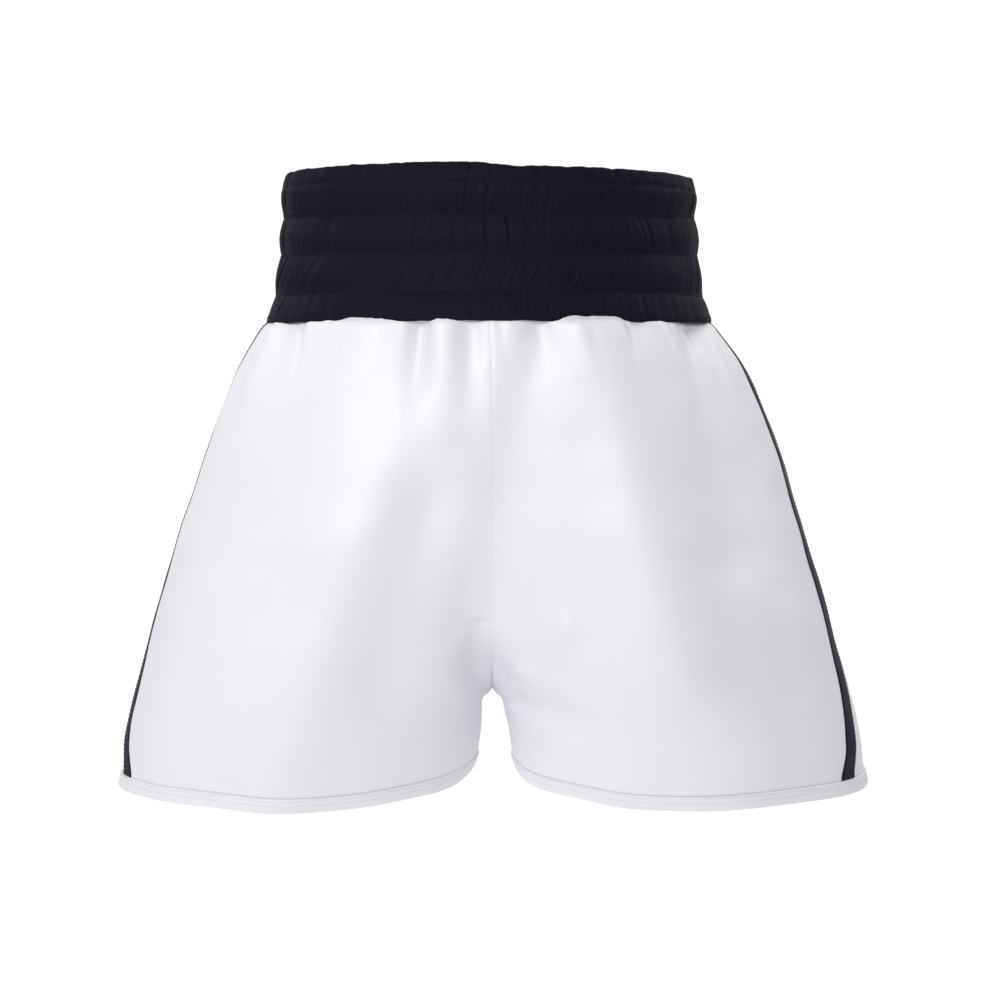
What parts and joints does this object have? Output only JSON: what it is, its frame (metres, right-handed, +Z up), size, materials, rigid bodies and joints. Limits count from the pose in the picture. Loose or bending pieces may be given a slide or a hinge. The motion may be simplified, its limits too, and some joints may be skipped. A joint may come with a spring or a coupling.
{
  "type": "boxing shorts",
  "caption": "Mid-thigh boxing shorts with a wide shirred elastic waistband, roomy satin legs that flare to the hem, and a narrow stripe down each side.",
  "frame": {"origin": "centre of the waist opening, in the plane of the waistband's rim", "axes": "+Z up, -Y the wearer's front, +X the wearer's left"},
  "size_m": [0.5626, 0.2524, 0.445],
  "materials": {
    "waistband_satin": "gathered black satin with a soft sheen",
    "elastic": "woven elastic, matte",
    "label": "woven satin tape, blank",
    "body_satin": "white satin, soft gloss",
    "side_stripe": "navy satin ribbon",
    "hem_satin": "white satin, turned and topstitched"
  },
  "bodies": {
    "seat": {"waistband_outer": "waistband_satin", "waistband_lining": "waistband_satin", "elastic_row_1": "elastic", "elastic_row_2": "elastic", "elastic_row_3": "elastic", "elastic_row_4": "elastic", "waist_label": "label", "left_front_hip": "body_satin", "left_front_fold": "body_satin", "left_back_hip": "body_satin", "left_back_fold": "body_satin", "left_stripe_hip": "side_stripe", "left_stripe_fold": "side_stripe", "right_front_hip": "body_satin", "right_front_fold": "body_satin", "right_back_hip": "body_satin", "right_back_fold": "body_satin", "right_stripe_hip": "side_stripe", "right_stripe_fold": "side_stripe"},
    "left_leg": {"left_front_leg": "body_satin", "left_back_leg": "body_satin", "left_stripe_leg": "side_stripe", "left_hem_binding": "hem_satin"},
    "right_leg": {"right_front_leg": "body_satin", "right_back_leg": "body_satin", "right_stripe_leg": "side_stripe", "right_hem_binding": "hem_satin"}
  },
  "joints": [
    {"name": "left_leg_swing", "type": "hinge", "parent": "seat", "child": "left_leg", "pos_m": [0.148, 0.00104, -0.29], "axis": [-1, 0, 0], "range_deg": [-20, 35], "deforming": ["left_front_fold", "left_back_fold", "left_stripe_fold"]},
    {"name": "right_leg_swing", "type": "hinge", "parent": "seat", "child": "right_leg", "pos_m": [-0.148, 0.00104, -0.29], "axis": [-1, 0, 0], "range_deg": [-20, 35], "deforming": ["right_front_fold", "right_back_fold", "right_stripe_fold"]}
  ]
}
